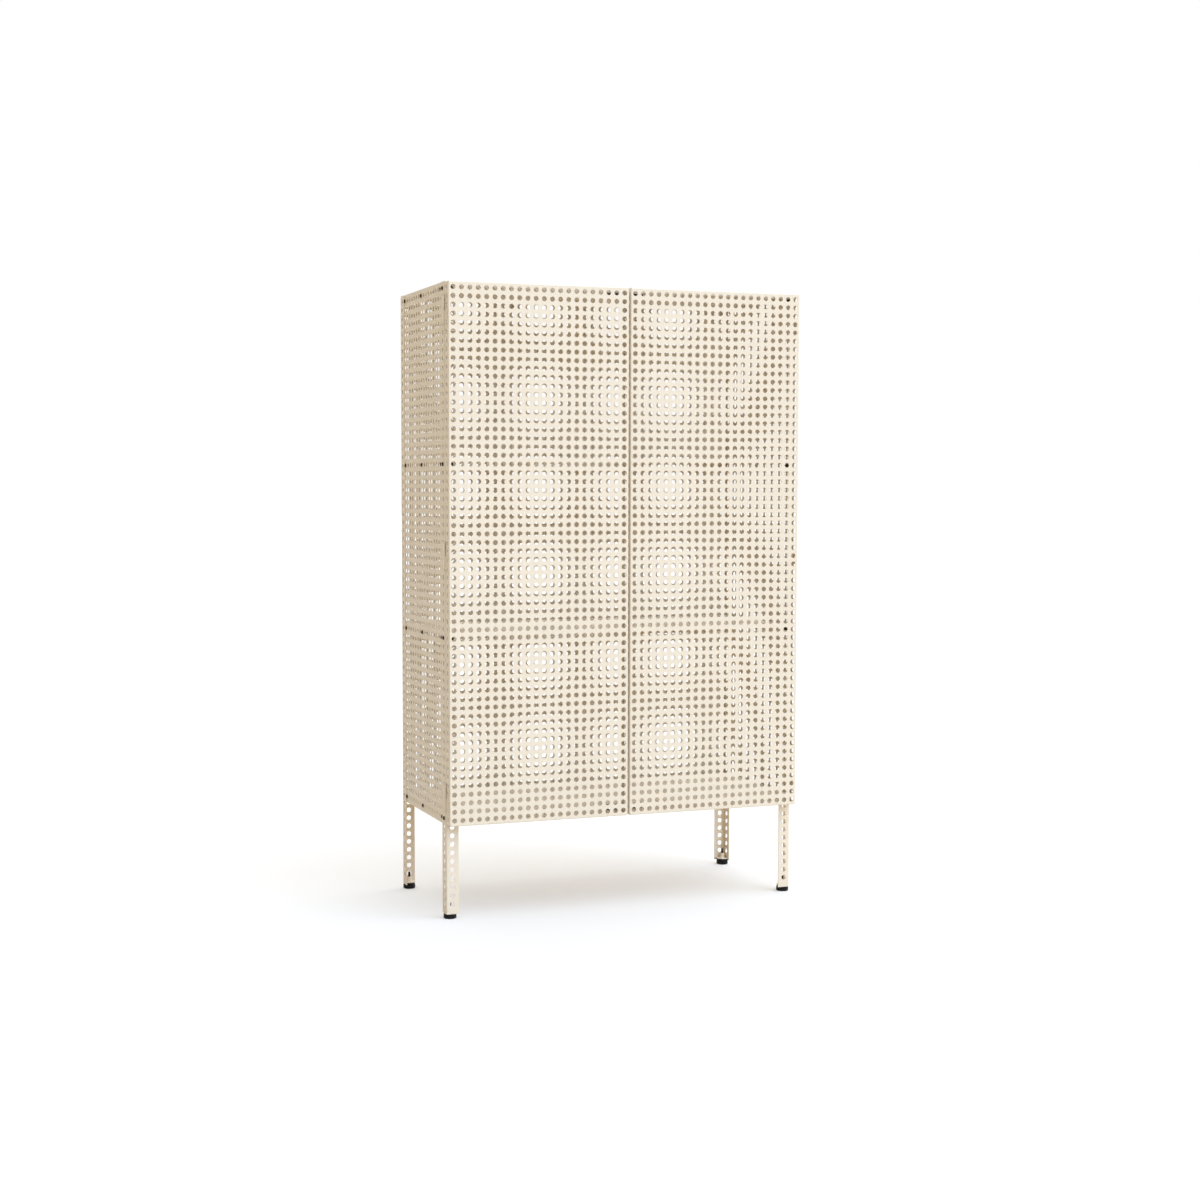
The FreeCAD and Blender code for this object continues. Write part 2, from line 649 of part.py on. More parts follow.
def pin(z):
    # Riveted over at both ends, with a little play under the door's knuckle.
    z0 = z - HINGE_HALF - PIN_TAIL_GAP
    z1 = z + HINGE_HALF
    shank = rod(PIN_R, -HINGE_X, HINGE_Y, z0, z1 - z0)
    head = Part.makeCone(PIN_HEAD_R, PIN_R, PIN_HEAD_H, FreeCAD.Vector(-HINGE_X, HINGE_Y, z1))
    tail = Part.makeCone(PIN_R, PIN_HEAD_R, PIN_HEAD_H,
                         FreeCAD.Vector(-HINGE_X, HINGE_Y, z0 - PIN_HEAD_H))
    return shank.fuse([head, tail]).removeSplitter()


pins = []
for where, z in zip(("lower", "middle", "upper"), HINGE_LEVELS):
    on_post = leaf(z + KNUCKLE_GAP / 2, z + HINGE_HALF, 1)
    on_door = leaf(z - HINGE_HALF, z - KNUCKLE_GAP / 2, -1)
    save("hinge_post_leaf_left_" + where, on_post)
    save("hinge_post_leaf_right_" + where, mirrored(on_post))
    save("hinge_door_leaf_left_" + where, on_door)
    save("hinge_door_leaf_right_" + where, mirrored(on_door))
    pins.append(pin(z))
save("hinge_pins_left", *pins)
save("hinge_pins_right", *[mirrored(p) for p in pins])
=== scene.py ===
import math

import bmesh
import bpy
from mathutils import Matrix, Vector


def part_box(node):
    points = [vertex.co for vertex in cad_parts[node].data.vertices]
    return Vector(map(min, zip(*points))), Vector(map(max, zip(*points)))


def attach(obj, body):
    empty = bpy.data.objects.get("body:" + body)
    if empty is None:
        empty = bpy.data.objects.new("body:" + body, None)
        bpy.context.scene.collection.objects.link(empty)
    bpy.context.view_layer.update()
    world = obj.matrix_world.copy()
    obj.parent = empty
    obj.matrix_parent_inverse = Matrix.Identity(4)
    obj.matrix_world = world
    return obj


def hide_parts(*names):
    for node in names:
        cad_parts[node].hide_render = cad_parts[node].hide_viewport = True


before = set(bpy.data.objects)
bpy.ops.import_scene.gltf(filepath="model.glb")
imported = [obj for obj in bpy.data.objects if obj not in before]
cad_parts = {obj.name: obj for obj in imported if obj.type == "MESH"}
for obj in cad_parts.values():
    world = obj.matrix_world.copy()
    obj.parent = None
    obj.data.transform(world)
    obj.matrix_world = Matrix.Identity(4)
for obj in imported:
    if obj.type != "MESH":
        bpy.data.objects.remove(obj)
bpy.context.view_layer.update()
MM = 0.001


# Corner posts
# Four lengths of steel angle, 30 x 30 x 2 mm, punched along both flanges on the cabinet's
# 20 mm pitch. They stand outside the panels as the corners and run on down as the legs.
# Like every sheet of the cabinet they are powder coated after punching and folding.
PITCH = 20 * MM
HOLE_R = 6 * MM
BOLT_HOLE_R = 2.75 * MM
HOLE_SIDES = 16
HOLE_START = 225
FOLD_STEPS = 5
POST_SHEET = 2 * MM
POST_BEND = 3 * MM
POST_ROWS = 72
EDGE_TO_ROW = 15 * MM
LEVELS = [235 * MM, 655 * MM, 1055 * MM, 1455 * MM]
TINY = 1e-7
SMOOTH_BELOW = math.radians(32)

# The cream is a warm off-white, a polyester powder coat with a satin gloss.
CREAM = "#ECE5D8"
CREAM_SHADE = "#E7DECF"
CREAM_IOR = 1.5
CREAM_ROUGH = (0.42, 0.54)
CLOUD = 260 * MM
CLOUD_DETAIL = 3.0
CLOUD_ROUGHNESS = 0.6
PEEL = 2.2 * MM
PEEL_DETAIL = 2.0
PEEL_DEPTH = 0.05 * MM
PEEL_STRENGTH = 0.35
NOISE_SPAN = (0.3, 0.7)


def linear(colour):
    """The linear RGBA of an sRGB hex colour."""
    parts = [int(colour[k:k + 2], 16) / 255 for k in (1, 3, 5)]
    return [c / 12.92 if c <= 0.04045 else ((c + 0.055) / 1.055) ** 2.4 for c in parts] + [1]


def add(tree, kind, settings, links):
    """One node, with its properties or input values set and its inputs linked."""
    made = tree.nodes.new(kind)
    for key, value in settings.items():
        if isinstance(key, int) or key in made.inputs:
            made.inputs[key].default_value = value
        else:
            setattr(made, key, value)
    for key, socket in links.items():
        tree.links.new(socket, made.inputs[key])
    return made


def noise(tree, size, **settings):
    """Procedural noise in the object's own space, with features of the given size."""
    where = add(tree, "ShaderNodeTexCoord", {}, {}).outputs["Object"]
    settings["Scale"] = 1 / size
    return add(tree, "ShaderNodeTexNoise", settings, {"Vector": where}).outputs["Fac"]


def blend(tree, first, second, share):
    """A colour between two sRGB hex colours."""
    settings = {"data_type": "RGBA", 6: linear(first), 7: linear(second)}
    return add(tree, "ShaderNodeMix", settings, {0: share}).outputs[2]


def mapped(tree, value, source, target=(0.0, 1.0)):
    """A value carried over from the source range to the target range, and held to it."""
    settings = {"From Min": source[0], "From Max": source[1],
                "To Min": target[0], "To Max": target[1]}
    return add(tree, "ShaderNodeMapRange", settings, {"Value": value}).outputs["Result"]


def new_material(name):
    material = bpy.data.materials.new(name)
    material.use_nodes = True
    material.node_tree.nodes.clear()
    return material, material.node_tree


def powder_coat():
    # To the eye: an even satin cream, with slow clouds in the tone where the powder lies
    # thicker, and the faint orange peel of a melted powder. The peel is drawn about twice
    # as coarse as it is, or it would not show.
    material, tree = new_material("cream_powder_coat")
    cloud = noise(tree, CLOUD, Detail=CLOUD_DETAIL, Roughness=CLOUD_ROUGHNESS)
    tone = blend(tree, CREAM_SHADE, CREAM, cloud)
    gloss = mapped(tree, cloud, NOISE_SPAN, CREAM_ROUGH)
    peel = noise(tree, PEEL, Detail=PEEL_DETAIL)
    bump = add(tree, "ShaderNodeBump", {"Strength": PEEL_STRENGTH, "Distance": PEEL_DEPTH},
               {"Height": peel})
    coat = add(tree, "ShaderNodeBsdfPrincipled", {"IOR": CREAM_IOR},
               {"Base Color": tone, "Roughness": gloss, "Normal": bump.outputs["Normal"]})
    add(tree, "ShaderNodeOutputMaterial", {}, {"Surface": coat.outputs["BSDF"]})
    return material


cream = powder_coat()


class Profile:
    """A folded sheet seen end on: stations along its outer face, as (place, depth) and the
    direction that the face looks in, and the middles of the holes between stations."""

    def __init__(self):
        self.stations = []
        self.holes = {}

    def to(self, place, depth, angle, hole=None):
        if self.stations and math.dist((place, depth), self.stations[-1][:2]) < TINY:
            return
        if hole is not None:
            self.holes[len(self.stations) - 1] = hole
        turn = math.radians(angle)
        self.stations.append((place, depth, math.cos(turn), math.sin(turn)))

    def bend(self, place, depth, radius, start, end):
        for k in range(FOLD_STEPS + 1):
            angle = start + (end - start) * k / FOLD_STEPS
            turn = math.radians(angle)
            self.to(place + radius * math.cos(turn), depth + radius * math.sin(turn), angle)

    def punched(self, start, end, middles):
        """Flat cells from start to end, one for each hole, divided half way between holes."""
        self.to(start, 0, 270)
        for here, following in zip(middles, middles[1:] + [None]):
            edge = end if following is None else (here + following) / 2
            self.to(edge, 0, 270, (here, 0))

    def flat(self, index):
        a, b = self.stations[index], self.stations[index + 1]
        return abs(a[1]) < TINY and abs(b[1]) < TINY and a[3] + b[3] < TINY - 2


def strip(start, end, middles):
    """A flat sheet seen end on."""
    profile = Profile()
    profile.punched(start, end, middles)
    return profile


def sheet(name, across, along, thickness, place, radius_at=None):
    """A mesh of a punched and folded sheet. Where both profiles are folded, the corner is
    open. place turns (across, along, depth) into a point, and radius_at turns the middles
    of a hole in both profiles into its radius."""
    origin = place(0, 0, 0)
    axes = [place(1, 0, 0) - origin, place(0, 1, 0) - origin, place(0, 0, 1) - origin]
    flip = Matrix(axes).determinant() > 0
    verts = []
    faces = []
    grid = {}

    def pair(p, d, q, through):
        """A point of the outer face and the one behind it, on the inner face."""
        verts.append(place(p, q, d))
        verts.append(place(p - through[0], q - through[2], d - through[1]))
        return len(verts) - 2, len(verts) - 1

    def through_sheet(u, v):
        return [thickness * n for n in (u[2], u[3] + v[3] + 1, v[2])]

    def corner(i, j):
        if (i, j) not in grid:
            u = across.stations[i]
            v = along.stations[j]
            grid[i, j] = pair(u[0], u[1] + v[1], v[0], through_sheet(u, v))
        return grid[i, j]

    def face(*indices):
        faces.append(indices[::-1] if flip else indices)

    def hole_radius(i, j):
        if i not in across.holes or j not in along.holes:
            return 0
        return radius_at(across.holes[i], along.holes[j]) if radius_at else HOLE_R

    def exists(i, j):
        inside = 0 <= i < len(across.stations) - 1 and 0 <= j < len(along.stations) - 1
        return inside and (across.flat(i) or along.flat(j))

    def step(profile, i):
        """The unit step along the outer face, as (place, depth), and the cell's start."""
        a, b = profile.stations[i], profile.stations[i + 1]
        length = math.hypot(b[0] - a[0], b[1] - a[1])
        return ((b[0] - a[0]) / length, (b[1] - a[1]) / length), a

    def punched_cell(i, j, r, corners):
        step_u, u = step(across, i)
        step_v, v = step(along, j)
        hole_u, hole_v = across.holes[i], along.holes[j]
        through = through_sheet(u, v)
        # The rim starts on the side of the cell's first corner and runs round with them.
        rim = []
        for m in range(HOLE_SIDES):
            turn = math.radians(HOLE_START + 360 * m / HOLE_SIDES)
            x, y = r * math.cos(turn), r * math.sin(turn)
            p = hole_u[0] + x * step_u[0]
            q = hole_v[0] + y * step_v[0]
            d = hole_u[1] + hole_v[1] + x * step_u[1] + y * step_v[1]
            rim.append(pair(p, d, q, through))
        quarter = HOLE_SIDES // 4
        for k in range(4):
            arc = [rim[(k * quarter + s) % HOLE_SIDES] for s in range(quarter, -1, -1)]
            ahead = (k + 1) % 4
            face(corners[k][0], corners[ahead][0], *[outer for outer, inner in arc])
            face(*[inner for outer, inner in arc[::-1]], corners[ahead][1], corners[k][1])
        for here, after in zip(rim, rim[1:] + rim[:1]):
            face(here[0], after[0], after[1], here[1])

    for i in range(len(across.stations) - 1):
        for j in range(len(along.stations) - 1):
            if not exists(i, j):
                continue
            c = [corner(i, j), corner(i + 1, j), corner(i + 1, j + 1), corner(i, j + 1)]
            r = hole_radius(i, j)
            if r:
                punched_cell(i, j, r, c)
            else:
                face(c[0][0], c[1][0], c[2][0], c[3][0])
                face(c[3][1], c[2][1], c[1][1], c[0][1])
            sides = (((i, j - 1), 1, 0), ((i + 1, j), 2, 1), ((i, j + 1), 3, 2), ((i - 1, j), 0, 3))
            for neighbour, a, b in sides:
                if not exists(*neighbour):
                    face(c[a][0], c[b][0], c[b][1], c[a][1])

    mesh = bpy.data.meshes.new(name)
    mesh.from_pydata(verts, [], faces)
    mesh.materials.append(cream)
    return finished(name, mesh)


def finished(name, mesh):
    """An object with smooth bends and bores, and flat faces that stay flat."""
    mesh.shade_smooth()
    mesh.set_sharp_from_angle(angle=SMOOTH_BELOW)
    piece = bpy.data.objects.new(name, mesh)
    bpy.context.scene.collection.objects.link(piece)
    even = piece.modifiers.new("even_shading", "WEIGHTED_NORMAL")
    even.keep_sharp = True
    return piece


def stands_for(piece, node, body):
    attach(piece, body)
    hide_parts(node)


def near_level(height):
    return any(abs(height - level) < PITCH / 2 for level in LEVELS)


def post_holes(front):
    def radius(hole_u, hole_v):
        on_side_flange = hole_u[1] > 0
        # The lowest level has no bolts in front.
        if front and not on_side_flange and hole_v[0] < LEVELS[0] + PITCH / 2:
            return HOLE_R
        bolted = near_level(hole_v[0]) and (front or not on_side_flange)
        return BOLT_HOLE_R if bolted else HOLE_R
    return radius


for end, front in (("front", True), ("rear", False)):
    for side, sign in (("left", -1), ("right", 1)):
        node = "post_%s_%s" % (end, side)
        low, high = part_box(node)
        width = high.x - low.x
        angle = Profile()
        angle.to(0, width, 180)
        angle.to(0, POST_BEND, 180, (0, EDGE_TO_ROW))
        angle.bend(POST_BEND, POST_BEND, POST_BEND, 180, 270)
        angle.to(width, 0, 270, (EDGE_TO_ROW, 0))
        rows = [LEVELS[-1] - PITCH * k for k in range(POST_ROWS)][::-1]
        corner_x = high.x if sign > 0 else low.x
        corner_y = low.y if front else high.y
        inward = 1 if front else -1

        def post_place(u, v, d):
            return Vector((corner_x - sign * u, corner_y + inward * d, v))
        post = sheet("steel_" + node, angle, strip(low.z, high.z, rows), POST_SHEET,
                     post_place, post_holes(front))
        stands_for(post, node, "cabinet")


# Trays
# The top, the two shelves and the bottom are sheet steel, 1.2 mm thick, with a flange
# folded down along all four edges. One row of holes in the flanges lines up with those
# of the panels, and bolts through it hold the posts and panels to the trays. The flanges
# of the bottom are punched for its bolts only.
SHEET = 1.2 * MM
FOLD_OUT = 2 * MM
CELL_FROM_FOLD = 1 * MM
SIDE_COLUMNS = 18
BACK_COLUMNS = 44
SIDE_BOLT_COLUMNS = (0, 1, 9, 16)
BACK_BOLT_X = 150 * MM

post_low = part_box("post_front_left")[0]
column_y = [post_low.y + EDGE_TO_ROW + PITCH * k for k in range(SIDE_COLUMNS)]
side_bolt_y = [column_y[k] for k in SIDE_BOLT_COLUMNS]
column_x = [post_low.x + EDGE_TO_ROW + PITCH * k for k in range(BACK_COLUMNS)]
front_bolt_x = [column_x[0], column_x[-1]]
back_bolt_x = [column_x[0], -BACK_BOLT_X, BACK_BOLT_X, column_x[-1]]


def flanged(start, end, drop, row, columns):
    """A tray seen end on, with a flange down at each end."""
    profile = Profile()
    profile.to(start, drop, 180)
    profile.to(start, FOLD_OUT + CELL_FROM_FOLD, 180, (start, row))
    profile.bend(start + FOLD_OUT, FOLD_OUT, FOLD_OUT, 180, 270)
    profile.punched(start + FOLD_OUT, end - FOLD_OUT, columns)
    profile.bend(end - FOLD_OUT, FOLD_OUT, FOLD_OUT, 270, 360)
    profile.to(end, FOLD_OUT + CELL_FROM_FOLD, 360)
    profile.to(end, drop, 360, (end, row))
    return profile


def bolted_at(place, bolts):
    return any(abs(place - b) < PITCH / 2 for b in bolts)


def flange_holes(lowest):
    def radius(hole_u, hole_v):
        # The flat of a tray is not punched, only its four flanges.
        if hole_u[1] > 0:
            place, bolts = hole_v[0], side_bolt_y
        elif hole_v[1] == 0:
            return 0
        elif hole_v[0] > 0:
            place, bolts = hole_u[0], back_bolt_x
        else:
            place, bolts = hole_u[0], [] if lowest else front_bolt_x
        if bolted_at(place, bolts):
            return BOLT_HOLE_R
        return 0 if lowest else HOLE_R
    return radius


for node, level in zip(("bottom_panel", "shelf_lower", "shelf_upper", "top_panel"), LEVELS):
    low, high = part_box(node)
    surface = high.z
    drop, row = high.z - low.z, high.z - level
    across = flanged(low.x, high.x, drop, row, column_x)
    along = flanged(low.y, high.y, drop, row, column_y)

    def tray_place(u, v, d):
        return Vector((u, v, surface - d))
    tray = sheet("steel_" + node, across, along, SHEET, tray_place,
                 flange_holes(node == "bottom_panel"))
    stands_for(tray, node, "cabinet")


# Side and back panels
# Flat punched sheets, 1.2 mm thick, held between the posts and the trays' flanges by the
# bolts. Their holes line up with those of the posts and the doors.
ROWS = 62
row_heights = [LEVELS[0] + PITCH * k for k in range(ROWS)]


def panel_holes(bolts):
    def radius(hole_u, hole_v):
        bolted = bolted_at(hole_u[0], bolts) and near_level(hole_v[0])
        return BOLT_HOLE_R if bolted else HOLE_R
    return radius


for side, sign in (("left", -1), ("right", 1)):
    node = "side_panel_" + side
    low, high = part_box(node)
    outer = high.x if sign > 0 else low.x

    def side_place(u, v, d):
        return Vector((outer - sign * d, u, v))
    panel = sheet("steel_" + node, strip(low.y, high.y, column_y),
                  strip(low.z, high.z, row_heights), SHEET, side_place, panel_holes(side_bolt_y))
    stands_for(panel, node, "cabinet")

low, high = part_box("back_panel")
rear = high.y


def back_place(u, v, d):
    return Vector((u, rear - d, v))


panel = sheet("steel_back_panel", strip(low.x, high.x, column_x),
              strip(low.z, high.z, row_heights), SHEET, back_place, panel_holes(back_bolt_x))
stands_for(panel, "back_panel", "cabinet")


# Bolts and nuts
# M5 x 10 button-head bolts of black-oxidised steel, pushed in from outside, each with a
# hexagon socket and a black hexagon nut inside the cabinet.
BOLT_R = 2.5 * MM
HEAD_R = 4.75 * MM
HEAD_H = 2.8 * MM
CROWN_R = 2.8 * MM
RIM_H = 0.4 * MM
DOME_STEPS = 6
SOCKET_R = 1.5 * MM
SOCKET_DEPTH = 1.6 * MM
THREAD_END = 0.5 * MM
NUT_R = 4 * MM
NUT_FACE_R = 3.92 * MM
NUT_BORE_R = 2.55 * MM
NUT_CHAMFER = math.radians(30)
ROUND_STEPS = 24
SAME_POINT = 1e-6
SORT_DIGITS = 5
BLACK_OXIDE = "#3A2E20"
BLACK_OXIDE_WORN = "#4C3F30"
BLACK_OXIDE_ROUGH = 0.42
METAL_GRAIN = 1.2 * MM
METAL_DETAIL = 3.0
GLOSSIER = 0.06
DULLER = 0.08


def metal(name, colour, worn, rough):
    # To the eye: a thin plated or oxidised skin on turned steel, a little uneven in
    # gloss and tone over each small piece, from the tumbling that finished it.
    material, tree = new_material(name)
    speckle = noise(tree, METAL_GRAIN, Detail=METAL_DETAIL)
    tone = blend(tree, colour, worn, speckle)
    gloss = mapped(tree, speckle, NOISE_SPAN, (rough - GLOSSIER, rough + DULLER))
    skin = add(tree, "ShaderNodeBsdfPrincipled", {"Metallic": 1.0},
               {"Base Color": tone, "Roughness": gloss})
    add(tree, "ShaderNodeOutputMaterial", {}, {"Surface": skin.outputs["BSDF"]})
    return material


black_oxide = metal("black_oxide_steel", BLACK_OXIDE, BLACK_OXIDE_WORN, BLACK_OXIDE_ROUGH)


def solids_of(node):
    """The boxes of the separate solids of a CAD node, as (lowest, highest) corners."""
    bm = bmesh.new()
    bm.from_mesh(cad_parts[node].data)
    bmesh.ops.remove_doubles(bm, verts=bm.verts, dist=SAME_POINT)
    left = set(bm.verts)
    boxes = []
    while left:
        island = [left.pop()]
        for vert in island:
            for edge in vert.link_edges:
                other = edge.other_vert(vert)
                if other in left:
                    left.remove(other)
                    island.append(other)
        xs, ys, zs = zip(*[v.co for v in island])
        boxes.append((Vector((min(xs), min(ys), min(zs))), Vector((max(xs), max(ys), max(zs)))))
    bm.free()
    boxes.sort(key=lambda b: tuple(round(c, SORT_DIGITS) for c in b[0]))
    return boxes


def ring(bm, pose, radii, heights):
    """Vertices round the axis, with a radius and a height each."""
    turns = [2 * math.pi * k / ROUND_STEPS for k in range(ROUND_STEPS)]
    return [bm.verts.new(pose @ Vector((r * math.cos(t), r * math.sin(t), h)))
            for r, h, t in zip(radii, heights, turns)]


def round_rings(bm, pose, outline):
    return [ring(bm, pose, [r] * ROUND_STEPS, [h] * ROUND_STEPS) for r, h in outline]


def skin(bm, rings):
    for a, b in zip(rings, rings[1:]):
        for k in range(ROUND_STEPS):
            n = (k + 1) % ROUND_STEPS
            bm.faces.new((a[k], a[n], b[n], b[k]))


def closed_skin(bm, rings):
    skin(bm, rings)
    bm.faces.new(rings[0][::-1])
    bm.faces.new(rings[-1])


def hexagon_radii(half_width):
    step = 2 * math.pi / ROUND_STEPS
    sixth = math.pi / 3
    return [half_width / math.cos((k * step) % sixth - sixth / 2) for k in range(ROUND_STEPS)]


def bolt(bm, pose, shank_length):
    """The head's underside is at height 0 and the shank points down."""
    outline = [(BOLT_R - THREAD_END, -shank_length), (BOLT_R, THREAD_END - shank_length),
               (BOLT_R, 0), (HEAD_R, 0)]
    for k in range(DOME_STEPS + 1):
        turn = math.pi / 2 * k / DOME_STEPS
        outline.append((CROWN_R + (HEAD_R - CROWN_R) * math.cos(turn),
                        RIM_H + (HEAD_H - RIM_H) * math.sin(turn)))
    rings = round_rings(bm, pose, outline)
    socket = hexagon_radii(SOCKET_R)
    for height in (HEAD_H, HEAD_H - SOCKET_DEPTH):
        rings.append(ring(bm, pose, socket, [height] * ROUND_STEPS))
    closed_skin(bm, rings)


def nut(bm, pose, height):
    """A hexagon from height 0 down, chamfered at its lower face."""
    hexagon = hexagon_radii(NUT_R)
    fall = math.tan(NUT_CHAMFER)
    rings = round_rings(bm, pose, [(NUT_BORE_R, 0)])
    rings.append(ring(bm, pose, hexagon, [0] * ROUND_STEPS))
    rings.append(ring(bm, pose, hexagon, [(r - NUT_R) * fall - height for r in hexagon]))
    rings += round_rings(bm, pose, [(NUT_FACE_R, -height), (NUT_BORE_R, -height)])
    rings.append(rings[0])
    skin(bm, rings[::-1])


def facing(point, direction):
    turn = Vector(direction).to_track_quat("Z", "Y").to_matrix().to_4x4()
    return Matrix.Translation(point) @ turn


def piece_from(bm, name, material):
    bmesh.ops.recalc_face_normals(bm, faces=bm.faces)
    mesh = bpy.data.meshes.new(name)
    bm.to_mesh(mesh)
    bm.free()
    mesh.materials.append(material)
    return finished(name, mesh)


OUTWARD = {"side_bolts_left": (-1, 0, 0), "side_bolts_right": (1, 0, 0),
           "front_bolts": (0, -1, 0), "back_bolts": (0, 1, 0)}
for node, outward in OUTWARD.items():
    out = Vector(outward)
    bm = bmesh.new()
    for low, high in solids_of(node):
        middle = (low + high) / 2
        half = abs(out.dot((high - low) / 2))
        bolt(bm, facing(middle + out * (half - HEAD_H), outward), 2 * half - HEAD_H)
    stands_for(piece_from(bm, "black_" + node, black_oxide), node, "cabinet")

    nuts = node.replace("bolts", "nuts")
    bm = bmesh.new()
    for low, high in solids_of(nuts):
        middle = (low + high) / 2
        half = abs(out.dot((high - low) / 2))
        nut(bm, facing(middle + out * half, outward), 2 * half)
    stands_for(piece_from(bm, "black_" + nuts, black_oxide), nuts, "cabinet")


# Feet
# Each leg stands on a round glide of black polyethylene that is moulded to sit round and
# inside the end of the angle. A screw goes up through it into a steel corner plate, which
# has a drawn collar and is welded into the angle and painted with it.
FOOT_BLACK = "#0A0A0A"
FOOT_SCUFF = "#211F1D"
SCUFF_HEIGHT = 3 * MM
SCUFF_MOST = 0.8
PLASTIC_IOR = 1.51
PLASTIC_ROUGH = 0.5
PLASTIC_SHINE = 0.2
PLASTIC_GRAIN = 0.8 * MM
GRAIN_DETAIL = 2.0
GRAIN_DEPTH = 0.08 * MM
GRAIN_STRENGTH = 0.3
SCREW_R = 3 * MM
SCREW_HEAD_R = 5 * MM
SCREW_HEAD_H = 2.5 * MM
SCREW_POINT = 1 * MM
THREAD_PITCH = 1 * MM
THREAD_DEPTH = 0.35 * MM
PLATED_DARK = "#4A4238"
PLATED_WORN = "#332D26"
PLATED_ROUGH = 0.45


def moulded_black(name, colour, scuffed):
    # To the eye: dull black plastic with a fine spark-eroded grain, greyed by scuffs
    # towards the floor.
    material, tree = new_material(name)
    where = add(tree, "ShaderNodeTexCoord", {}, {}).outputs["Object"]
    height = add(tree, "ShaderNodeSeparateXYZ", {}, {"Vector": where}).outputs["Z"]
    low = mapped(tree, height, (0, SCUFF_HEIGHT), (SCUFF_MOST, 0))
    grain = noise(tree, PLASTIC_GRAIN, Detail=GRAIN_DETAIL)
    scuff = add(tree, "ShaderNodeMath", {"operation": "MULTIPLY"}, {0: low, 1: grain})
    tone = blend(tree, colour, scuffed, scuff.outputs[0])
    bump = add(tree, "ShaderNodeBump", {"Strength": GRAIN_STRENGTH, "Distance": GRAIN_DEPTH},
               {"Height": grain})
    plastic = add(tree, "ShaderNodeBsdfPrincipled",
                  {"IOR": PLASTIC_IOR, "Roughness": PLASTIC_ROUGH,
                   "Specular IOR Level": PLASTIC_SHINE},
                  {"Base Color": tone, "Normal": bump.outputs["Normal"]})
    add(tree, "ShaderNodeOutputMaterial", {}, {"Surface": plastic.outputs["BSDF"]})
    return material


def dress(node, material):
    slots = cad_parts[node].data.materials
    slots.clear()
    slots.append(material)


foot_plastic = moulded_black("black_polyethylene", FOOT_BLACK, FOOT_SCUFF)
for where in ("front_left", "front_right", "rear_left", "rear_right"):
    dress("foot_" + where, foot_plastic)
    dress("foot_plate_" + where, cream)

dark_steel = metal("dark_plated_steel", PLATED_DARK, PLATED_WORN, PLATED_ROUGH)
bm = bmesh.new()
for low, high in solids_of("foot_screws"):
    middle = (low + high) / 2
    pose = Matrix.Translation(Vector((middle.x, middle.y, low.z)))
    length = high.z - low.z
    outline = [(SCREW_HEAD_R, 0), (SCREW_HEAD_R, SCREW_HEAD_H), (SCREW_R, SCREW_HEAD_H)]
    crest = SCREW_HEAD_H + THREAD_PITCH
    while crest < length - SCREW_POINT - THREAD_PITCH / 2:
        outline.append((SCREW_R, crest))
        outline.append((SCREW_R - THREAD_DEPTH, crest + THREAD_PITCH / 2))
        crest += THREAD_PITCH
    outline += [(SCREW_R, length - SCREW_POINT), (SCREW_R - SCREW_POINT, length)]
    closed_skin(bm, round_rings(bm, pose, outline))
screws = piece_from(bm, "threaded_foot_screws", dark_steel)
stands_for(screws, "foot_screws", "cabinet")


# Magnetic catches
# Two double catches of black moulded nylon, screwed to the front flanges of the top and
# the bottom behind the gap between the doors. Each holds two nickel-plated magnets.
NYLON_BLACK = "#1A1919"
NICKEL = "#9D978B"
NICKEL_WORN = "#8D877C"
NICKEL_ROUGH = 0.28
ZINC_BLACK = "#201F1E"
ZINC_WORN = "#2C2A28"
ZINC_ROUGH = 0.4

catch_plastic = moulded_black("black_nylon", NYLON_BLACK, NYLON_BLACK)
dress("catch_housing_upper", catch_plastic)
dress("catch_housing_lower", catch_plastic)
dress("catch_magnets", metal("nickel_plated_magnet", NICKEL, NICKEL_WORN, NICKEL_ROUGH))
dress("catch_screws", metal("black_zinc_screw", ZINC_BLACK, ZINC_WORN, ZINC_ROUGH))


# Hinges
# Three small welded hinges a side. Each has one knuckle and leaf on the post and one on
# the door, bent from 1.2 mm steel, and a riveted pin. They are painted with the cabinet.
PIN_R = 1.6 * MM
PIN_HEAD_R = 2.6 * MM
PIN_HEAD_H = 1.2 * MM
PIN_DOME = 0.35 * MM

for side in ("left", "right"):
    for level in ("lower", "middle", "upper"):
        dress("hinge_post_leaf_%s_%s" % (side, level), cream)
        dress("hinge_door_leaf_%s_%s" % (side, level), cream)
    node = "hinge_pins_" + side
    bm = bmesh.new()
    for low, high in solids_of(node):
        middle = (low + high) / 2
        pose = Matrix.Translation(Vector((middle.x, middle.y, low.z)))
        length = high.z - low.z
        flare = [(PIN_HEAD_R - PIN_DOME, 0), (PIN_HEAD_R, PIN_DOME), (PIN_R, PIN_HEAD_H)]
        outline = flare + [(r, length - h) for r, h in flare[::-1]]
        closed_skin(bm, round_rings(bm, pose, outline))
    stands_for(piece_from(bm, "riveted_" + node, cream), node, "cabinet")


# Doors
# Two pans of punched sheet, 1.2 mm thick. Each is folded back 27 mm on all four edges,
# with one row of holes in each return, and folded in again along the upright edges.
DOOR_COLUMNS = 22
DOOR_LIP = 12 * MM
RETURN_ROW = 15 * MM
RETURN_CELL = 7.5 * MM


